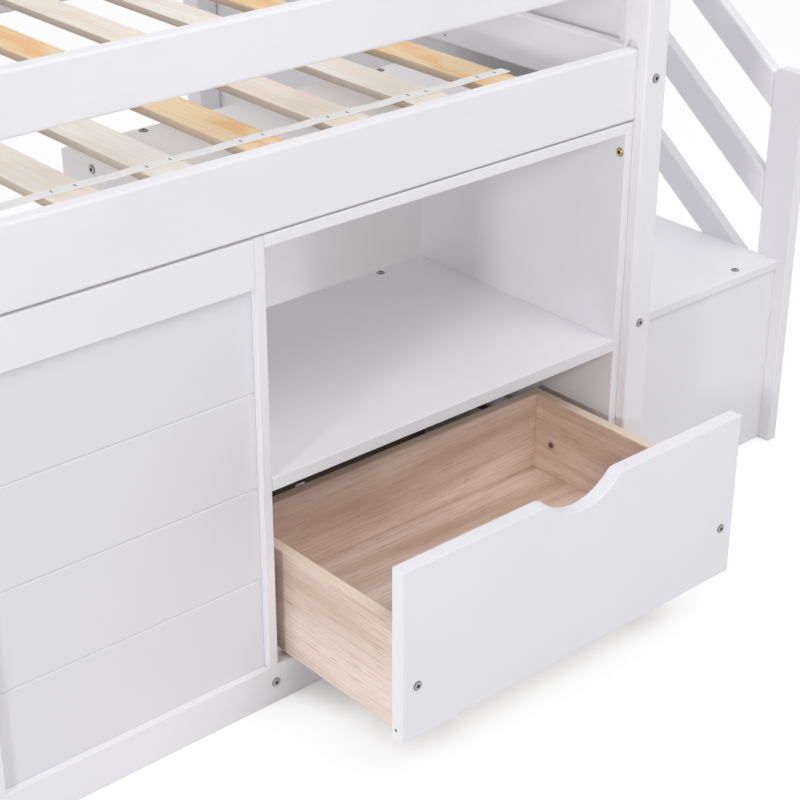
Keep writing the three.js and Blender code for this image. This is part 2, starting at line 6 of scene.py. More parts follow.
import bpy
import numpy as np
from mathutils import Euler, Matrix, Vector


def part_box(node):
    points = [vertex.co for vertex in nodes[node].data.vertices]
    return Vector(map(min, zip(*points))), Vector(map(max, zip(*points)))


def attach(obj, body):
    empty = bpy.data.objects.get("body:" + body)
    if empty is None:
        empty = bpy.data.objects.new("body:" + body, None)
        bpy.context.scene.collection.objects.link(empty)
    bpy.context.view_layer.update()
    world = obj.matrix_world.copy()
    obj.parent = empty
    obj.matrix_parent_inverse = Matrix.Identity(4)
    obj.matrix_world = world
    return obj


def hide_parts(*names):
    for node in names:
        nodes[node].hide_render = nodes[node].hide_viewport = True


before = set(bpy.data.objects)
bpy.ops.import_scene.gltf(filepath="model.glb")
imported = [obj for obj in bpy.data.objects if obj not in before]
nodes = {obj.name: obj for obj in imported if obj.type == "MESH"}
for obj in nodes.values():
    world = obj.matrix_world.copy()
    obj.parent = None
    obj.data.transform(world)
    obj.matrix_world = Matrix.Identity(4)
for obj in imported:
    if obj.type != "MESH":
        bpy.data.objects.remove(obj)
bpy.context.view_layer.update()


# ---------------------------------------------------------------- camera
# A tall person's view over the open drawer, from the front left and a little above the bed.
# The lens is a long one, so the boards' edges stay almost parallel.
camera_place = Vector((-1.13171, -2.08211, 1.51268))
camera_turn = [math.radians(angle) for angle in (62.948, -0.141, -41.180)]
sensor_width = 36.0
focal_pixels = 1858.85
picture_pixels = 800

camera_data = bpy.data.cameras.new("camera")
camera_data.sensor_width = sensor_width
camera_data.lens = focal_pixels / picture_pixels * sensor_width
camera_data.clip_end = 200.0
camera = bpy.data.objects.new("camera", camera_data)
camera.location = camera_place
camera.rotation_euler = Euler(camera_turn, "XYZ")
bpy.context.scene.collection.objects.link(camera)
bpy.context.scene.camera = camera


# ---------------------------------------------------------------- floor and light
# A seamless white studio floor, painted board, under a white tent, with a softbox above the front.
# A small lamp far off to the left draws the few sharp shadows, and a wider one lights the rear.
# The camera sees the open floor as white.
floor_half = 60.0
floor_drop = 0.0004
floor_glow = 0.8
floor_white = 1.05
floor_contact_reach = 0.14
floor_shade_limits = (0.2, 0.5)
floor_bounce = "#EEEEEF"
tent_lobes = (
    ((0, -0.8, 0.6), 0.28),
    ((-0.8, 0, 0.6), 0.54),
    ((0.8, 0, 0.6), 0.48),
    ((0, 0.8, 0.6), 0.58),
)
tent_colour = "#FBFBFE"
lamp_aim = Vector((0.3, -0.1, 0.4))
lamps = (
    ("left_lamp", (0.87, 0.41, -0.24), 5.0, 0.5, 57.0),
    ("front_softbox", (-0.14, 0.58, -0.8), 4.0, 2.4, 59.0),
    ("rear_left_lamp", (0.92, -0.3, -0.16), 4.5, 1.5, 20.0),
)


def linear(hex_colour):
    """An sRGB hex colour as linear red, green, blue and alpha: undoes sRGB's curve."""
    channels = [int(hex_colour[start : start + 2], 16) / 255 for start in (1, 3, 5)]
    curve = [c / 12.92 if c <= 0.04045 else ((c + 0.055) / 1.055) ** 2.4 for c in channels]
    return (*curve, 1.0)


def add_node(tree, kind, values=None, links=None, **settings):
    """Adds a node of that kind. Values go to its sockets by name or number, and links join
    other nodes' sockets to its own."""
    node = tree.nodes.new(kind)
    for name, setting in settings.items():
        setattr(node, name, setting)
    for socket, value in (values or {}).items():
        node.inputs[socket].default_value = value
    for socket, source in (links or {}).items():
        tree.links.new(source, node.inputs[socket])
    return node


def seen_directly(tree):
    """1 for a ray from the camera, a mirror or glass, and 0 for light on its way to a surface."""
    path = add_node(tree, "ShaderNodeLightPath")
    mirrored = add_node(
        tree, "ShaderNodeMath", operation="MAXIMUM",
        links={0: path.outputs["Is Camera Ray"], 1: path.outputs["Is Glossy Ray"]},
    )
    return add_node(
        tree, "ShaderNodeMath", operation="MAXIMUM",
        links={0: mirrored.outputs[0], 1: path.outputs["Is Transmission Ray"]},
    )


def studio_floor():
    """Painted board: matt white, and for the camera mostly its own white, so that only the shade
    of the bed shows on it."""
    material = bpy.data.materials.new("studio_floor_paint")
    material.use_nodes = True
    tree = material.node_tree
    tree.nodes.clear()
    seen = seen_directly(tree)
    paint = add_node(
        tree, "ShaderNodeMix", data_type="RGBA",
        values={6: linear(floor_bounce), 7: linear("#FFFFFF")}, links={0: seen.outputs[0]},
    )
    matt = add_node(tree, "ShaderNodeBsdfDiffuse", links={"Color": paint.outputs[2]})
    white = add_node(
        tree, "ShaderNodeEmission", values={"Color": linear("#FFFFFF"), "Strength": floor_white},
    )
    contact = add_node(
        tree, "ShaderNodeAmbientOcclusion", samples=8, values={"Distance": floor_contact_reach},
    )
    shaded, open_floor = floor_shade_limits
    openness = add_node(
        tree, "ShaderNodeMapRange",
        values={"From Min": shaded, "From Max": open_floor, "To Max": floor_glow},
        links={"Value": contact.outputs["AO"]},
    )
    share = add_node(
        tree, "ShaderNodeMath", operation="MULTIPLY",
        links={0: seen.outputs[0], 1: openness.outputs[0]},
    )
    mixed = add_node(
        tree, "ShaderNodeMixShader",
        links={0: share.outputs[0], 1: matt.outputs[0], 2: white.outputs[0]},
    )
    add_node(tree, "ShaderNodeOutputMaterial", links={"Surface": mixed.outputs[0]})
    return material


def mesh_object(name, points, faces, *materials):
    """A mesh object at the origin from an array of points and a list of faces."""
    mesh = bpy.data.meshes.new(name)
    mesh.from_pydata(np.asarray(points).tolist(), [], faces)
    for material in materials:
        mesh.materials.append(material)
    made = bpy.data.objects.new(name, mesh)
    bpy.context.scene.collection.objects.link(made)
    return made


floor_corners = floor_half * np.array([[-1, -1, 0], [1, -1, 0], [1, 1, 0], [-1, 1, 0]])
floor_corners = floor_corners - [0, 0, floor_drop]
floor = mesh_object("studio_floor", floor_corners, [(0, 1, 2, 3)], studio_floor())


def tent_strength(tree):
    """The tent's glow: for each lobe its strength times the squared cosine between the way to that
    place of the tent and the lobe's middle."""
    sky = add_node(tree, "ShaderNodeTexCoord")
    total = None
    for lobe_middle, strength in tent_lobes:
        cosine = add_node(
            tree, "ShaderNodeVectorMath", operation="DOT_PRODUCT", values={1: lobe_middle},
            links={0: sky.outputs["Generated"]},
        )
        facing = add_node(
            tree, "ShaderNodeMath", operation="MAXIMUM", values={1: 0.0},
            links={0: cosine.outputs["Value"]},
        )
        squared = add_node(
            tree, "ShaderNodeMath", operation="POWER", values={1: 2.0},
            links={0: facing.outputs[0]},
        )
        glow = add_node(
            tree, "ShaderNodeMath", operation="MULTIPLY_ADD", values={1: strength, 2: 0.0},
            links={0: squared.outputs[0]},
        )
        if total is not None:
            tree.links.new(total.outputs[0], glow.inputs[2])
        total = glow
    return total


world = bpy.data.worlds.new("studio_tent")
bpy.context.scene.world = world
world.use_nodes = True
air = world.node_tree
air.nodes.clear()
tent = add_node(
    air, "ShaderNodeBackground", values={"Color": linear(tent_colour)},
    links={"Strength": tent_strength(air).outputs[0]},
)
backdrop = add_node(
    air, "ShaderNodeBackground", values={"Color": linear("#FFFFFF"), "Strength": 1.0},
)
both = add_node(
    air, "ShaderNodeMixShader",
    links={0: seen_directly(air).outputs[0], 1: tent.outputs[0], 2: backdrop.outputs[0]},
)
add_node(air, "ShaderNodeOutputWorld", links={"Surface": both.outputs[0]})

for name, travel, distance, size, power in lamps:
    way_back = -Vector(travel).normalized()
    lamp_data = bpy.data.lights.new(name, "AREA")
    lamp_data.energy = power
    lamp_data.size = size
    lamp = bpy.data.objects.new(name, lamp_data)
    lamp.location = lamp_aim + distance * way_back
    lamp.rotation_euler = way_back.to_track_quat("Z", "Y").to_euler()
    bpy.context.scene.collection.objects.link(lamp)

bpy.context.scene.view_settings.view_transform = "Standard"


# ---------------------------------------------------------------- posts and rails
# Pine posts and rails, planed, edge-rounded and sprayed with white lacquer.
# The lacquer fills the wood but the grain still telegraphs through it as fine long ripples.
lacquer_white = "#F4F3F6"
lacquer_shade = "#EFEEF1"
ripple_pitch = 0.0035
ripple_length = 0.16
orange_peel_pitch = 0.0022
cloud_pitch = 0.1833

grain_scales = {
    "x": (1 / ripple_length, 1 / ripple_pitch, 1 / ripple_pitch),
    "y": (1 / ripple_pitch, 1 / ripple_length, 1 / ripple_pitch),
    "z": (1 / ripple_pitch, 1 / ripple_pitch, 1 / ripple_length),
}


def start_material(name, roughness, **values):
    """A new material with one Principled shader, whose plain values are set on its own sockets."""
    material = bpy.data.materials.new(name)
    material.use_nodes = True
    shader = material.node_tree.nodes["Principled BSDF"]
    shader.inputs["Roughness"].default_value = roughness
    for socket, value in values.items():
        shader.inputs[socket.replace("_", " ")].default_value = value
    return material, material.node_tree, shader


def pattern_place(tree, scale, turn=(0, 0, 0)):
    """Object coordinates in metres, turned and then divided by a pattern's real size per axis."""
    place = add_node(tree, "ShaderNodeTexCoord")
    return add_node(
        tree, "ShaderNodeMapping", values={"Scale": scale, "Rotation": turn},
        links={"Vector": place.outputs["Object"]},
    )


def lacquered_pine(name, grain):
    """White lacquer on planed pine: satin, with long shallow ripples along the grain and a fine
    orange peel."""
    material, tree, shader = start_material(name, 0.42)
    along = pattern_place(tree, grain_scales[grain])
    ripples = add_node(
        tree, "ShaderNodeTexNoise", values={"Scale": 1.0, "Detail": 3.0, "Roughness": 0.6},
        links={"Vector": along.outputs[0]},
    )
    everywhere = pattern_place(tree, (1 / orange_peel_pitch,) * 3)
    peel = add_node(
        tree, "ShaderNodeTexNoise", values={"Scale": 1.0, "Detail": 1.0},
        links={"Vector": everywhere.outputs[0]},
    )
    clouds = add_node(
        tree, "ShaderNodeTexNoise",
        values={"Scale": orange_peel_pitch / cloud_pitch, "Detail": 2.0},
        links={"Vector": everywhere.outputs[0]},
    )
    tone = add_node(
        tree, "ShaderNodeMath", operation="MULTIPLY_ADD", values={1: 0.35},
        links={0: ripples.outputs[0], 2: clouds.outputs[0]},
    )
    share = add_node(
        tree, "ShaderNodeMapRange", values={"From Min": 0.45, "From Max": 0.95},
        links={"Value": tone.outputs[0]},
    )
    colour = add_node(
        tree, "ShaderNodeMix", data_type="RGBA",
        values={6: linear(lacquer_white), 7: linear(lacquer_shade)}, links={0: share.outputs[0]},
    )
    sheen = add_node(
        tree, "ShaderNodeMapRange", values={"To Min": 0.4, "To Max": 0.5},
        links={"Value": ripples.outputs[0]},
    )
    long_bump = add_node(
        tree, "ShaderNodeBump", values={"Strength": 0.12, "Distance": 0.0001},
        links={"Height": ripples.outputs[0]},
    )
    fine_bump = add_node(
        tree, "ShaderNodeBump", values={"Strength": 0.15, "Distance": 0.00005},
        links={"Height": peel.outputs[0], "Normal": long_bump.outputs[0]},
    )
    tree.links.new(colour.outputs[2], shader.inputs["Base Color"])
    tree.links.new(sheen.outputs[0], shader.inputs["Roughness"])
    tree.links.new(fine_bump.outputs[0], shader.inputs["Normal"])
    return material


def finish_nodes(material, *names):
    """Gives CAD nodes their material."""
    for name in names:
        nodes[name].data.materials.clear()
        nodes[name].data.materials.append(material)


pine_along_x = lacquered_pine("lacquered_pine_along_x", "x")
pine_along_y = lacquered_pine("lacquered_pine_along_y", "y")
pine_along_z = lacquered_pine("lacquered_pine_along_z", "z")
post_names = [f"{side}_{end}_post" for side in ("front", "back") for end in ("foot", "head")]
side_rail_names = [
    f"{side}_{rail}" for side in ("front", "back")
    for rail in ("side_rail", "lower_guard_rail", "upper_guard_rail")
]
end_rail_names = ["foot_rail", "head_rail", "head_lower_guard_rail", "head_upper_guard_rail"]
finish_nodes(pine_along_z, *post_names)
finish_nodes(pine_along_x, *side_rail_names)
finish_nodes(pine_along_y, *end_rail_names)


# ---------------------------------------------------------------- bolts of posts and rails
# Steel furniture bolts with a low round head and a hexagon socket, zinc-plated and passivated grey.
# Each clamps a rail to its post; its side and the lip of its socket are painted darker as shade,
# and its shallow socket is painted dark as the shade of a deep hole.
bolt_head_radius = 0.0066
bolt_head_height = 0.0018
socket_apothem = 0.0022
bolt_sides = 36
crease_angle = math.radians(35)
spot_pitch = 0.002
shade_mottle_pitch = 0.001
hole_disc_height = 0.0002
hole_sides = 20


def plated_steel(name, hex_colour, roughness):
    """Zinc-plated steel: metallic, with faint cloudy spots from the passivation bath."""
    material, tree, shader = start_material(name, roughness, Metallic=1.0)
    spots = add_node(
        tree, "ShaderNodeTexNoise", values={"Scale": 1.0, "Detail": 2.0},
        links={"Vector": pattern_place(tree, (1 / spot_pitch,) * 3).outputs[0]},
    )
    dull = [0.72 * channel for channel in linear(hex_colour)[:3]]
    colour = add_node(
        tree, "ShaderNodeMix", data_type="RGBA",
        values={6: linear(hex_colour), 7: (*dull, 1.0)}, links={0: spots.outputs[0]},
    )
    tree.links.new(colour.outputs[2], shader.inputs["Base Color"])
    return material


def socket_shade(name):
    """The inside of a hexagon socket: steel painted dark as the shade of a deep hole, with a faint
    mottle.
    """
    material, tree, shader = start_material(name, 0.6, Metallic=0.6)
    shade_mottle = add_node(
        tree, "ShaderNodeTexNoise", values={"Scale": 1.0},
        links={"Vector": pattern_place(tree, (1 / shade_mottle_pitch,) * 3).outputs[0]},
    )
    colour = add_node(
        tree, "ShaderNodeMix", data_type="RGBA",
        values={6: linear("#403E3C"), 7: linear("#5C5955")}, links={0: shade_mottle.outputs[0]},
    )
    tree.links.new(colour.outputs[2], shader.inputs["Base Color"])
    return material


def turned_grid(radii, heights, hexagonal, sides):
    """Points of a turned shape, row by row from its base to its top. A row is radius times
    (cosine, sine) of the angle. Where it is hexagonal, the radius is divided by the cosine of
    the angle to the nearest flat, which gives a hexagon whose apothem is that radius."""
    angles = np.linspace(0, 2 * math.pi, sides, endpoint=False)
    to_flat = (angles + math.pi / 6) % (math.pi / 3) - math.pi / 6
    stretch = np.where(np.asarray(hexagonal)[:, None], 1 / np.cos(to_flat)[None, :], 1.0)
    reach = np.asarray(radii)[:, None] * stretch
    levels = np.repeat(np.asarray(heights)[:, None], sides, 1)
    rows = np.stack([reach * np.cos(angles), reach * np.sin(angles), levels], -1)
    return rows.reshape(-1, 3)


def turned_faces(rows, sides):
    """Quads between neighbouring rows, with a fan to a middle point at each end."""
    faces = []
    for row in range(rows - 1):
        for side in range(sides):
            after = (side + 1) % sides
            lower, upper = row * sides, (row + 1) * sides
            faces.append((lower + side, lower + after, upper + after, upper + side))
    base, top = rows * sides, rows * sides + 1
    last = (rows - 1) * sides
    for side in range(sides):
        after = (side + 1) % sides
        faces.append((base, after, side))
        faces.append((last + side, last + after, top))
    return faces


def turned_pieces(name, places, profile, sides, body, *materials):
    """One object of equal turned pieces. Each place is a point on a surface and the way out of it.
    The profile is rows of (radius, height, hexagonal, material), and a row's material goes up to
    the next row."""
    radii, heights, hexagonal, finishes = (list(column) for column in zip(*profile))
    grid = turned_grid(radii, heights, hexagonal, sides)
    grid = np.vstack([grid, [[0, 0, heights[0]], [0, 0, heights[-1]]]])
    own_faces = turned_faces(len(profile), sides)
    points, faces = [], []
    for place, way in places:
        out = np.array(way, float) / np.linalg.norm(way)
        across = np.cross(out, [0, 0, 1.0]) if abs(out[2]) < 0.9 else np.array([1.0, 0, 0])
        across /= np.linalg.norm(across)
        basis = np.stack([across, np.cross(out, across), out])
        shift = len(points) * len(grid)
        points.append(np.array(place) + grid @ basis)
        faces.extend(tuple(corner + shift for corner in face) for face in own_faces)
    made = mesh_object(name, np.vstack(points), faces, *materials)
    made.data.shade_smooth()
    own_finish = np.array([finishes[min(face) // sides] for face in own_faces], np.int32)
    made.data.polygons.foreach_set("material_index", np.tile(own_finish, len(places)))
    made.data.set_sharp_from_angle(angle=crease_angle)
    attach(made, body)
    return made


def dark_hole(radius, dip_radius):
    """Profile of a disc painted dark as the shade inside a small hole: its rim is slightly proud of
    the face, and its middle half as much."""
    return [
        (radius, 0.0, False, 0), (radius, hole_disc_height, False, 0),
        (dip_radius, hole_disc_height / 2, False, 0),
    ]


grey_bolt_steel = plated_steel("passivated_bolt_steel", "#B8B5B1", 0.32)
brass_bolt_steel = plated_steel("yellow_passivated_bolt_steel", "#DCCB8E", 0.3)
# Rim colour: painted shade, darker on the head's side and on the lip of its socket.
rim_painted_shade = plated_steel("bolt_rim_painted_shade", "#73706D", 0.45)
# The socket's inside is painted dark as the shade of a deep hole.
socket_painted_shade = socket_shade("hexagon_socket_painted_shade")
# Rows of material 2 carry the rim's painted shade, and rows of material 1 the socket's painted
# shade.
bolt_profile = [
    (bolt_head_radius, 0.0, False, 2),
    (bolt_head_radius, 0.35 * bolt_head_height, False, 2),
    (0.93 * bolt_head_radius, 0.7 * bolt_head_height, False, 0),
    (0.8 * bolt_head_radius, 0.92 * bolt_head_height, False, 0),
    (0.66 * bolt_head_radius, bolt_head_height, False, 0),
    (1.3 * socket_apothem, bolt_head_height, False, 2),
    (socket_apothem, 0.85 * bolt_head_height, True, 1),
    (0.95 * socket_apothem, 0.2 * bolt_head_height, True, 1),
]
grey_bolt = (grey_bolt_steel, socket_painted_shade, rim_painted_shade)
brass_bolt = (brass_bolt_steel, socket_painted_shade, rim_painted_shade)

foot_low, foot_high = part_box("front_foot_post")
head_low, head_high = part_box("front_head_post")
back_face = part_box("back_foot_post")[1].y
post_middle = {"foot": (foot_low.x + foot_high.x) / 2, "head": (head_low.x + head_high.x) / 2}


def middle_height(name):
    """Half way up a CAD node."""
    low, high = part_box(name)
    return (low.z + high.z) / 2


end_rails_of = {
    "foot": ["foot_rail"], "head": ["head_rail", "head_lower_guard_rail", "head_upper_guard_rail"],
}
lower_post_bolt = 0.3675
side_bolt_shift = 0.026
rail_half_thickness = 0.01075
side_rail_height = 0.102
frame_bolts = [((post_middle["foot"], foot_low.y, lower_post_bolt), (0, -1, 0))]
frame_bolts.append(((post_middle["foot"], back_face, lower_post_bolt), (0, 1, 0)))
for end, rails in end_rails_of.items():
    for rail in rails:
        frame_bolts.append(((post_middle[end], foot_low.y, middle_height(rail)), (0, -1, 0)))
        frame_bolts.append(((post_middle[end], back_face, middle_height(rail)), (0, 1, 0)))
for rail in side_rail_names:
    low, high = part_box(rail)
    is_side_rail = rail.endswith("side_rail")
    steps = (-side_bolt_shift, side_bolt_shift) if is_side_rail else (0,)
    bottom = high.z - side_rail_height if is_side_rail else low.z
    level = (high.z + bottom) / 2
    in_front = rail.startswith("front")
    across = low.y + rail_half_thickness if in_front else high.y - rail_half_thickness
    for step in steps:
        frame_bolts.append(((foot_high.x, across, level + step), (1, 0, 0)))
        frame_bolts.append(((head_low.x, across, level + step), (-1, 0, 0)))
cross_hole_inset = 0.3712
cross_hole_height = 0.713
cross_hole_radii = (0.0016, 0.001)
rail_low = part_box("foot_rail")[0]
cross_hole = ((rail_low.x, rail_low.y + cross_hole_inset, cross_hole_height), (-1, 0, 0))
# The foot rail's cross hole is a disc of painted shade.
turned_pieces(
    "foot_rail_cross_hole", [cross_hole], dark_hole(*cross_hole_radii), hole_sides, "bed",
    socket_painted_shade,
)
frame_bolt_heads = turned_pieces(
    "frame_bolts", frame_bolts, bolt_profile, bolt_sides, "bed", *grey_bolt,
)


# ---------------------------------------------------------------- slats
# Twelve bare pine slats, sawn and planed, that lie loose on the ledges of the side rails.
# Most are pale sapwood and some are warm heartwood; grain lines run from side to side of the bed.
ring_pitch = 0.011
ring_length = 0.45
fibre_pitch = 0.0026
fibre_length = 0.14
patch_pitch = 0.034
patch_length = 0.16
waves_per_unit = 20 / (2 * math.pi)
slat_low, slat_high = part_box("slat_01")


def planed_pine(name, pale, deep, patch):
    """Bare planed pine: a pale ground with long warm patches, faint broad rings and fine fibres
    along y. The side faces carry painted shade: browner and darker, darker still towards the
    underside."""
    material, tree, shader = start_material(name, 0.72, Specular_IOR_Level=0.3)
    ring_scale = 1 / (ring_pitch * waves_per_unit)
    rings = add_node(
        tree, "ShaderNodeTexWave", bands_direction="X",
        values={
            "Scale": 1.0, "Distortion": 14.0, "Detail": 2.0,
            "Detail Scale": 0.3, "Detail Roughness": 0.5,
        },
        links={"Vector": pattern_place(tree, (ring_scale, 1 / ring_length, ring_scale)).outputs[0]},
    )
    fibre_place = pattern_place(tree, (1 / fibre_pitch, 1 / fibre_length, 1 / fibre_pitch))
    patch_place = pattern_place(tree, (1 / patch_pitch, 1 / patch_length, 1 / patch_pitch))
    fibres = add_node(
        tree, "ShaderNodeTexNoise", values={"Scale": 1.0, "Detail": 4.0, "Roughness": 0.6},
        links={"Vector": fibre_place.outputs[0]},
    )
    patches = add_node(
        tree, "ShaderNodeTexNoise", values={"Scale": 1.0, "Detail": 3.0, "Distortion": 0.6},
        links={"Vector": patch_place.outputs[0]},
    )
    patch_share = add_node(
        tree, "ShaderNodeMapRange", interpolation_type="SMOOTHSTEP",
        values={"From Min": 0.42, "From Max": 0.62}, links={"Value": patches.outputs[0]},
    )
    ring_share = add_node(
        tree, "ShaderNodeMapRange", values={"From Min": 0.45, "From Max": 1.0, "To Max": 0.16},
        links={"Value": rings.outputs["Fac"]},
    )
    fibre_share = add_node(
        tree, "ShaderNodeMapRange", values={"From Min": 0.45, "From Max": 0.75, "To Max": 0.2},
        links={"Value": fibres.outputs[0]},
    )
    patched = add_node(
        tree, "ShaderNodeMix", data_type="RGBA",
        values={6: linear(pale), 7: linear(patch)}, links={0: patch_share.outputs[0]},
    )
    ringed = add_node(
        tree, "ShaderNodeMix", data_type="RGBA",
        values={7: linear(deep)}, links={0: ring_share.outputs[0], 6: patched.outputs[2]},
    )
    fibred = add_node(
        tree, "ShaderNodeMix", data_type="RGBA",
        values={7: linear(deep)}, links={0: fibre_share.outputs[0], 6: ringed.outputs[2]},
    )
    surface = add_node(tree, "ShaderNodeNewGeometry")
    upwards = add_node(tree, "ShaderNodeSeparateXYZ", links={0: surface.outputs["Normal"]})
    coordinates = add_node(tree, "ShaderNodeTexCoord")
    place = add_node(tree, "ShaderNodeSeparateXYZ", links={0: coordinates.outputs["Object"]})
    flatness = add_node(
        tree, "ShaderNodeMath", operation="ABSOLUTE", links={0: upwards.outputs["Z"]},
    )
    # Side faces are painted browner and darker as shade, and darker still towards the underside.
    side_painted_shade = add_node(
        tree, "ShaderNodeMapRange",
        values={"From Min": 0.3, "From Max": 0.8, "To Min": 0.8, "To Max": 0.0},
        links={"Value": flatness.outputs[0]},
    )
    lowness = add_node(
        tree, "ShaderNodeMapRange", values={"From Min": slat_high.z, "From Max": slat_low.z},
        links={"Value": place.outputs["Z"]},
    )
    side_shade_colour = add_node(
        tree, "ShaderNodeMix", data_type="RGBA",
        values={6: linear("#CDBBAB"), 7: linear("#9C8B7D")}, links={0: lowness.outputs[0]},
    )
    sided = add_node(
        tree, "ShaderNodeMix", data_type="RGBA",
        links={0: side_painted_shade.outputs[0], 6: fibred.outputs[2], 7: side_shade_colour.outputs[2]},
    )
    bump = add_node(
        tree, "ShaderNodeBump", values={"Strength": 0.25, "Distance": 0.0002},
        links={"Height": fibres.outputs[0]},
    )
    tree.links.new(sided.outputs[2], shader.inputs["Base Color"])
    tree.links.new(bump.outputs[0], shader.inputs["Normal"])
    return material


pine_woods = {
    "pale": planed_pine("planed_pine_pale", "#FCF8EE", "#E6D7C4", "#FAEFE1"),
    "warm": planed_pine("planed_pine_warm", "#FBE3BB", "#E6BC8C", "#FACB95"),
    "rosy": planed_pine("planed_pine_rosy", "#FCF6EA", "#E8D5C1", "#FBEBDC"),
}
slat_names = sorted(name for name in nodes if name.startswith("slat_"))
for number, name in enumerate(slat_names, start=1):
    wood = "warm" if number % 3 == 0 else "rosy" if number % 3 == 1 else "pale"
    finish_nodes(pine_woods[wood], name)


# ---------------------------------------------------------------- straps and staples
# Two straps of woven white polypropylene webbing hold the slats at their steps.
# Each lies on the slats, hangs a little between them, and has two steel staples at every slat.
strap_width = 0.019
strap_thickness = 0.0011
strap_sag = 0.0008
strap_lift = 0.0002
strap_steps_per_gap = 12
strap_sways = ((0.0005, 7, 0), (0.0003, 23, 1))
staple_reach = 0.016
staple_crown = 0.0075
staple_leg = 0.0022
staple_wire = 0.00045
staple_steps = 15
staple_wire_sides = 6
staple_crook = 0.002
crook_per_slat = 5
crook_per_metre = 300
weave_pitch = 0.0016


def woven_webbing(name):
    """Woven polypropylene webbing: two crossing waves, one a thread wide each way, make the weave's
    bump and shade."""
    material, tree, shader = start_material(name, 0.7, Sheen_Weight=0.25)
    place = pattern_place(tree, (1 / (weave_pitch * waves_per_unit),) * 3)
    warp = add_node(
        tree, "ShaderNodeTexWave", bands_direction="Y", values={"Scale": 1.0},
        links={"Vector": place.outputs[0]},
    )
    weft = add_node(
        tree, "ShaderNodeTexWave", bands_direction="DIAGONAL", values={"Scale": 1.0},
        links={"Vector": place.outputs[0]},
    )
    weave = add_node(
        tree, "ShaderNodeMath", operation="MULTIPLY",
        links={0: warp.outputs["Fac"], 1: weft.outputs["Fac"]},
    )
    colour = add_node(
        tree, "ShaderNodeMix", data_type="RGBA",
        values={6: linear("#F8F7F5"), 7: linear("#FFFFFE")}, links={0: weave.outputs[0]},
    )
    bump = add_node(
        tree, "ShaderNodeBump", values={"Strength": 0.3, "Distance": 0.0002},
        links={"Height": weave.outputs[0]},
    )
    tree.links.new(colour.outputs[2], shader.inputs["Base Color"])
    tree.links.new(bump.outputs[0], shader.inputs["Normal"])
    return material


def swept(rings):
    """Points and faces of a closed shape whose rings follow each other along a path, with a fan
    at each end."""
    count, sides = rings.shape[:2]
    ends = np.stack([rings[0].mean(0), rings[-1].mean(0)])
    points = np.vstack([rings.reshape(-1, 3), ends])
    faces = []
    for ring in range(count - 1):
        for side in range(sides):
            after = (side + 1) % sides
            near, far = ring * sides, (ring + 1) * sides
            faces.append((near + side, near + after, far + after, far + side))
    last = (count - 1) * sides
    for side in range(sides):
        after = (side + 1) % sides
        faces.append((count * sides, after, side))
        faces.append((count * sides + 1, last + side, last + after))
    return points, faces


def strap_rings(start, end, middle_y, supports, top):
    """Rings of a strap along x. Its underside is at the slats' top, less the sag times the squared
    sine of the way across each gap. Its section is a thin rounded rectangle whose sides wander by
    the sum of two sines, each given as reach, rate and start."""
    edges = sorted(edge for support in supports for edge in support)
    stations = [start]
    for low, high in zip(edges[:-1], edges[1:]):
        stations.extend(np.linspace(low, high, strap_steps_per_gap, endpoint=False))
    stations = np.unique(np.array([*stations, edges[-1], end]))
    sag = np.zeros(len(stations))
    for low, high in zip(edges[1:-1:2], edges[2::2]):
        way = np.clip((stations - low) / (high - low), 0, 1)
        sag += strap_sag * np.sin(math.pi * way) ** 2
    sway = sum(reach * np.sin(rate * stations + start_at) for reach, rate, start_at in strap_sways)
    half, thick, nip = strap_width / 2, strap_thickness, 0.3 * strap_thickness
    across = np.array([-half, -half + nip, half - nip, half, half, half - nip, -half + nip, -half])
    up = np.array([nip, 0, 0, nip, thick - nip, thick, thick, thick - nip])
    rings = np.zeros((len(stations), len(across), 3))
    rings[:, :, 0] = stations[:, None]
    rings[:, :, 1] = middle_y + sway[:, None] + across[None, :]
    rings[:, :, 2] = (top + strap_lift - sag)[:, None] + up[None, :]
    return rings


def staple_rings(place):
    """Rings of one staple along y: a flat crown on the strap, whose two ends turn down into the
    slat. Its drop is the leg's length times the eighth power of the way from the middle, so the
    crown is flat and its corners are round."""
    way = np.linspace(-1, 1, staple_steps)
    drop = staple_leg * way**8
    turn = np.linspace(0, 2 * math.pi, staple_wire_sides, endpoint=False)
    slope = np.gradient(drop, staple_crown / 2 * way)
    tangent = np.stack([np.zeros(staple_steps), np.ones(staple_steps), -slope], 1)
    tangent /= np.linalg.norm(tangent, axis=1)[:, None]
    upward = np.cross([1.0, 0, 0], tangent)
    along = [np.zeros(staple_steps), staple_crown / 2 * way, staple_wire - drop]
    centre = np.array(place) + np.stack(along, 1)
    return (
        centre[:, None, :]
        + staple_wire * np.sin(turn)[None, :, None] * np.array([1.0, 0, 0])
        + staple_wire * np.cos(turn)[None, :, None] * upward[:, None, :]
    )


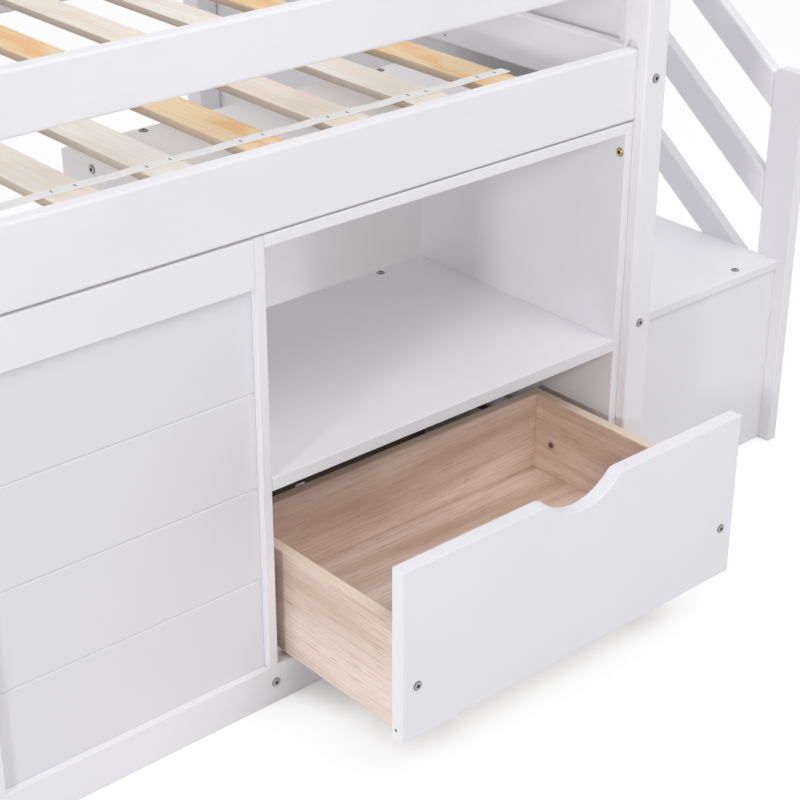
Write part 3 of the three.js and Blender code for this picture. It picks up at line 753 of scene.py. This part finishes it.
webbing = woven_webbing("woven_polypropylene_webbing")
staple_steel = plated_steel("galvanised_staple_wire", "#6E6C6A", 0.4)
slat_boxes = [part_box(name) for name in slat_names]
slat_top = slat_boxes[0][1].z
supports = [(box_low.x, box_high.x) for box_low, box_high in slat_boxes]
for side in ("front", "back"):
    low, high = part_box(f"{side}_strap")
    middle = (low.y + high.y) / 2
    rings = strap_rings(low.x, high.x, middle, supports, slat_top)
    strap = mesh_object(f"{side}_webbing_strap", *swept(rings), webbing)
    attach(strap, "bed")
    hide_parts(f"{side}_strap")
    points, faces = [], []
    strap_top = slat_top + strap_lift + strap_thickness
    for number, (slat_start, slat_end) in enumerate(supports):
        slat_middle = (slat_start + slat_end) / 2
        for step in (-staple_reach, staple_reach):
            crooked = staple_crook * math.sin(crook_per_slat * number + crook_per_metre * step)
            place = (slat_middle + step + crooked, middle + crooked, strap_top)
            own_points, own_faces = swept(staple_rings(place))
            faces.extend(tuple(corner + len(points) for corner in face) for face in own_faces)
            points.extend(own_points.tolist())
    staples = mesh_object(f"{side}_strap_staples", points, faces, staple_steel)
    staples.data.shade_smooth()
    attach(staples, "bed")


# ---------------------------------------------------------------- shelf and drawer unit
# Side, top, shelf and back panels of fibre board, edge-banded and lacquered white, except the
# lower back, which is painted dark brown-grey as painted shade of the closed drawer bay.
# There is no grain under the lacquer, only a fine even orange peel.
panel_peel_pitch = 0.0028
panel_cloud_pitch = 0.18


def lacquered_board(name, white, shade, roughness):
    """White lacquer on fibre board: smooth satin with a fine orange peel and very faint clouds."""
    material, tree, shader = start_material(name, roughness)
    peel = add_node(
        tree, "ShaderNodeTexNoise", values={"Scale": 1.0, "Detail": 1.5},
        links={"Vector": pattern_place(tree, (1 / panel_peel_pitch,) * 3).outputs[0]},
    )
    clouds = add_node(
        tree, "ShaderNodeTexNoise", values={"Scale": 1.0, "Detail": 3.0},
        links={"Vector": pattern_place(tree, (1 / panel_cloud_pitch,) * 3).outputs[0]},
    )
    colour = add_node(
        tree, "ShaderNodeMix", data_type="RGBA",
        values={6: linear(white), 7: linear(shade)}, links={0: clouds.outputs[0]},
    )
    bump = add_node(
        tree, "ShaderNodeBump", values={"Strength": 0.3, "Distance": 0.0001},
        links={"Height": peel.outputs[0]},
    )
    tree.links.new(colour.outputs[2], shader.inputs["Base Color"])
    tree.links.new(bump.outputs[0], shader.inputs["Normal"])
    return material


panel_lacquer = lacquered_board("lacquered_fibre_board", "#F4F3F6", "#EFEEF1", 0.42)
unit_names = [name for name in nodes if name.startswith("unit_") and name != "unit_lower_back"]
finish_nodes(panel_lacquer, *unit_names)
# The lower back panel is painted dark brown-grey as the shade of the closed bay behind the drawer.
finish_nodes(lacquered_board("lower_back_painted_shade", "#88776A", "#7A6A5D", 0.75), "unit_lower_back")

right_low, right_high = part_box("unit_right_side")
left_low, left_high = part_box("unit_left_side")
left_screw_inset = 0.11
right_screw_inset = 0.096
back_screw_inset = 0.012
unit_bolts = []
for panel in ("unit_shelf", "unit_top_panel"):
    panel_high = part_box(panel)[1]
    for x in (left_high.x + left_screw_inset, right_low.x - right_screw_inset):
        unit_bolts.append(((x, panel_high.y - back_screw_inset, panel_high.z), (0, 0, 1)))
side_screw_front_inset = 0.06
side_screw_back_inset = 0.075
side_screw_drop = 0.0095
for y in (left_low.y + side_screw_front_inset, left_high.y - side_screw_back_inset):
    unit_bolts.append(((left_low.x, y, left_high.z - side_screw_drop), (-1, 0, 0)))
unit_screws = turned_pieces("unit_screws", unit_bolts, bolt_profile, bolt_sides, "bed", *grey_bolt)
rail_bolt_inset = 0.0097
rail_bolt_height = 0.6339
brass_bolts = [
    ((right_low.x, right_low.y + rail_bolt_inset, rail_bolt_height), (-1, 0, 0)),
    ((left_high.x, left_low.y + rail_bolt_inset, rail_bolt_height), (1, 0, 0)),
]
turned_pieces("unit_rail_bolts", brass_bolts, bolt_profile, bolt_sides, "bed", *brass_bolt)


# ---------------------------------------------------------------- plank section
# A frame of white lacquered board with a panel routed to look like four planks.
# Its plinth runs on under the unit, and bolts through it pull it against the unit's side panels.
finish_nodes(panel_lacquer, "plank_frame")
finish_nodes(lacquered_board("lacquered_plank_board", "#EAE9ED", "#E6E5E9", 0.42), "plank_panel")
frame_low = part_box("plank_frame")[0]
plinth_bolt_height = 0.0322
left_plinth_bolt_shift = 0.003
left_side_middle = (left_low.x + left_high.x) / 2
right_side_middle = (right_low.x + right_high.x) / 2
plinth_places = [
    ((x, frame_low.y, plinth_bolt_height), (0, -1, 0))
    for x in (left_side_middle + left_plinth_bolt_shift, right_side_middle)
]
plinth_bolts = turned_pieces(
    "plinth_bolts", plinth_places, bolt_profile, bolt_sides, "bed", *grey_bolt,
)


# ---------------------------------------------------------------- drawer
# A box of particle board in printed oak-look paper, whose streaks run along each board.
# Its white lacquered front has a scooped finger hold and is bolted on, and its runners are
# screwed through the sides.
band_pitch = 0.05
band_length = 0.6
streak_pitch = 0.0036
streak_length = 0.26
pore_pitch = 0.0011
pore_length = 0.045


def oak_print(name, grain, band_and_highlight_edge):
    """Printed oak paper: soft bands and thin darker streaks along the board, with short dark pores
    between them. Where it has a pale top edge, faces that look up are painted paler: an edge band
    and a painted highlight together."""
    material, tree, shader = start_material(name, 0.55, Specular_IOR_Level=0.35)

    def stretched(pitch, length):
        return tuple(1 / (length if axis == grain else pitch) for axis in "xyz")

    bands = add_node(
        tree, "ShaderNodeTexNoise",
        values={"Scale": 1.0, "Detail": 3.0, "Roughness": 0.55, "Distortion": 0.4},
        links={"Vector": pattern_place(tree, stretched(band_pitch, band_length)).outputs[0]},
    )
    streaks = add_node(
        tree, "ShaderNodeTexNoise", values={"Scale": 1.0, "Detail": 4.0, "Roughness": 0.7},
        links={"Vector": pattern_place(tree, stretched(streak_pitch, streak_length)).outputs[0]},
    )
    pores = add_node(
        tree, "ShaderNodeTexNoise", values={"Scale": 1.0, "Detail": 1.0},
        links={"Vector": pattern_place(tree, stretched(pore_pitch, pore_length)).outputs[0]},
    )
    band_share = add_node(
        tree, "ShaderNodeMapRange", values={"From Min": 0.36, "From Max": 0.64},
        links={"Value": bands.outputs[0]},
    )
    streak_share = add_node(
        tree, "ShaderNodeMapRange", values={"From Min": 0.46, "From Max": 0.72, "To Max": 0.46},
        links={"Value": streaks.outputs[0]},
    )
    pore_share = add_node(
        tree, "ShaderNodeMapRange", values={"From Min": 0.6, "From Max": 0.74, "To Max": 0.55},
        links={"Value": pores.outputs[0]},
    )
    banded = add_node(
        tree, "ShaderNodeMix", data_type="RGBA",
        values={6: linear("#F8E5D9"), 7: linear("#DAC0AD")}, links={0: band_share.outputs[0]},
    )
    streaked = add_node(
        tree, "ShaderNodeMix", data_type="RGBA",
        values={7: linear("#BD9F8A")}, links={0: streak_share.outputs[0], 6: banded.outputs[2]},
    )
    pored = add_node(
        tree, "ShaderNodeMix", data_type="RGBA",
        values={7: linear("#8E7260")}, links={0: pore_share.outputs[0], 6: streaked.outputs[2]},
    )
    bump = add_node(
        tree, "ShaderNodeBump", invert=True, values={"Strength": 0.3, "Distance": 0.0001},
        links={"Height": pore_share.outputs[0]},
    )
    normal = add_node(tree, "ShaderNodeNewGeometry")
    upwards = add_node(tree, "ShaderNodeSeparateXYZ", links={0: normal.outputs["Normal"]})
    # Faces that look up are painted paler: an edge band and a painted highlight together.
    on_edge = add_node(
        tree, "ShaderNodeMapRange",
        values={"From Min": 0.6, "From Max": 0.9, "To Max": 0.75 if band_and_highlight_edge else 0.0},
        links={"Value": upwards.outputs["Z"]},
    )
    edged = add_node(
        tree, "ShaderNodeMix", data_type="RGBA",
        values={7: linear("#F2DFCB")}, links={0: on_edge.outputs[0], 6: pored.outputs[2]},
    )
    tree.links.new(edged.outputs[2], shader.inputs["Base Color"])
    tree.links.new(bump.outputs[0], shader.inputs["Normal"])
    return material


finish_nodes(oak_print("oak_print_back", "x", True), "drawer_back")
finish_nodes(oak_print("oak_print_bottom", "x", False), "drawer_bottom")
finish_nodes(oak_print("oak_print_sides", "y", True), "drawer_left_side", "drawer_right_side")
finish_nodes(panel_lacquer, "drawer_front")

front_low, front_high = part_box("drawer_front")
side_low, side_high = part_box("drawer_right_side")
left_side_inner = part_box("drawer_left_side")[1].x
front_bolt_inset = 0.0242
front_bolt_height = 0.1457
front_places = [
    ((x, front_low.y, front_bolt_height), (0, -1, 0))
    for x in (front_low.x + front_bolt_inset, front_high.x - front_bolt_inset)
]
drawer_front_bolts = turned_pieces(
    "drawer_front_bolts", front_places, bolt_profile, bolt_sides, "drawer", *grey_bolt,
)
slide_bolt_inset = 0.0516
slide_bolt_height = 0.1475
slide_bolt_scale = 0.78
slide_bolt_profile = [
    (slide_bolt_scale * radius, slide_bolt_scale * height, hexagonal, finish)
    for radius, height, hexagonal, finish in bolt_profile
]
slide_bolts = [
    ((side_low.x, side_high.y - slide_bolt_inset, slide_bolt_height), (-1, 0, 0)),
    ((left_side_inner, side_high.y - slide_bolt_inset, slide_bolt_height), (1, 0, 0)),
]
bronze_steel = plated_steel("bronze_slide_bolt_steel", "#A88E7A", 0.36)
# The slide bolts' rim colour is painted shade on the head's side and the lip of its socket.
bronze_rim_painted_shade = plated_steel("bronze_slide_bolt_rim_painted_shade", "#5F4434", 0.5)
turned_pieces(
    "drawer_slide_bolts", slide_bolts, slide_bolt_profile, bolt_sides, "drawer",
    bronze_steel, socket_painted_shade, bronze_rim_painted_shade,
)
dowel_hole_inset = 0.0129
dowel_hole_height = 0.0815
dowel_hole_radii = (0.0021, 0.0012)
dowel_holes = [
    ((front_low.x, front_low.y + dowel_hole_inset, dowel_hole_height), (-1, 0, 0)),
    ((front_high.x, front_low.y + dowel_hole_inset, dowel_hole_height), (1, 0, 0)),
]
# The drawer front's edge holes are discs of painted shade.
turned_pieces(
    "drawer_front_edge_holes", dowel_holes, dark_hole(*dowel_hole_radii), hole_sides, "drawer",
    socket_painted_shade,
)


# ---------------------------------------------------------------- angle bracket
# One small folded steel angle, zinc-plated, that holds the lower back panel near the floor.
# It stands flat against the panel behind the drawer, and its foot points to the front.
bracket_width = 0.018
bracket_height = 0.011
bracket_foot = 0.01
bracket_sheet = 0.0012
bracket_level = 0.016
bracket_inset = 0.363


def bracket_points(middle, back, bottom):
    """The twelve corners of a folded angle: an L of constant thickness, drawn out sideways to the
    bracket's width."""
    outline = [
        (0, 0), (-bracket_foot, 0), (-bracket_foot, bracket_sheet), (-bracket_sheet, bracket_sheet),
        (-bracket_sheet, bracket_height), (0, bracket_height),
    ]
    ends = (middle - bracket_width / 2, middle + bracket_width / 2)
    return [(x, back + y, bottom + z) for x in ends for y, z in outline]


bracket_faces = [(0, 1, 2, 3), (0, 3, 4, 5), (9, 8, 7, 6), (11, 10, 9, 6)]
bracket_faces += [(side, side + 6, (side + 1) % 6 + 6, (side + 1) % 6) for side in range(6)]
lower_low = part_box("unit_lower_back")[0]
points = bracket_points(lower_low.x + bracket_inset, lower_low.y, bracket_level)
bracket_steel = plated_steel("zinc_plated_angle", "#A6A7A9", 0.38)
bracket = mesh_object("back_panel_angle", points, bracket_faces, bracket_steel)
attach(bracket, "bed")


# ---------------------------------------------------------------- runners
# Cold-rolled steel channels and slides, zinc-plated, screwed to the unit's sides and to the drawer.
# The plating has a faint spangle.
crystal_pitch = 0.004
rolling_pitch = 0.0008
rolling_length = 0.05


def plated_sheet(name):
    """Zinc-plated steel sheet: satin metal with a faint spangle of crystals a few millimetres wide
    and rolling lines along it."""
    material, tree, shader = start_material(name, 0.38, Metallic=1.0)
    crystals = add_node(
        tree, "ShaderNodeTexVoronoi", values={"Scale": 1.0},
        links={"Vector": pattern_place(tree, (1 / crystal_pitch,) * 3).outputs[0]},
    )
    tint = add_node(tree, "ShaderNodeSeparateColor", links={0: crystals.outputs["Color"]})
    colour = add_node(
        tree, "ShaderNodeMix", data_type="RGBA",
        values={6: linear("#A9ABAE"), 7: linear("#BFC1C3")}, links={0: tint.outputs[0]},
    )
    rolled = pattern_place(tree, (1 / rolling_pitch, 1 / rolling_length, 1 / rolling_pitch))
    lines = add_node(
        tree, "ShaderNodeTexNoise", values={"Scale": 1.0, "Detail": 2.0},
        links={"Vector": rolled.outputs[0]},
    )
    bump = add_node(
        tree, "ShaderNodeBump", values={"Strength": 0.2, "Distance": 0.0001},
        links={"Height": lines.outputs[0]},
    )
    tree.links.new(colour.outputs[2], shader.inputs["Base Color"])
    tree.links.new(bump.outputs[0], shader.inputs["Normal"])
    return material


finish_nodes(
    plated_sheet("zinc_plated_sheet"),
    "left_runner_channel", "right_runner_channel", "left_drawer_slide", "right_drawer_slide",
)


# ---------------------------------------------------------------- stairs
# A stair carcass of white lacquered boards with pine treads, newels and rails, bolted together.
# Each tread is held by bolts from above near its front edge.
finish_nodes(
    panel_lacquer, "stair_front_panel", "stair_second_riser", "stair_third_riser",
    "stair_outer_panel", "stair_inner_panel",
)
finish_nodes(pine_along_x, "stair_first_tread", "stair_second_tread", "stair_landing")
finish_nodes(pine_along_z, "front_newel", "middle_newel", "back_newel")
finish_nodes(
    pine_along_y,
    "stair_rail_1", "stair_rail_2", "stair_rail_3", "landing_rail_1", "landing_rail_2",
)
tread_bolt_left_inset = 0.047
tread_bolt_right_inset = 0.0857
tread_bolt_front_inset = 0.0188
tread_places = []
for name in ("stair_first_tread", "stair_second_tread", "stair_landing"):
    low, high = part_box(name)
    for x in (low.x + tread_bolt_left_inset, high.x - tread_bolt_right_inset):
        tread_places.append(((x, low.y + tread_bolt_front_inset, high.z), (0, 0, 1)))
tread_bolts = turned_pieces(
    "tread_bolts", tread_places, bolt_profile, bolt_sides, "bed", *grey_bolt,
)
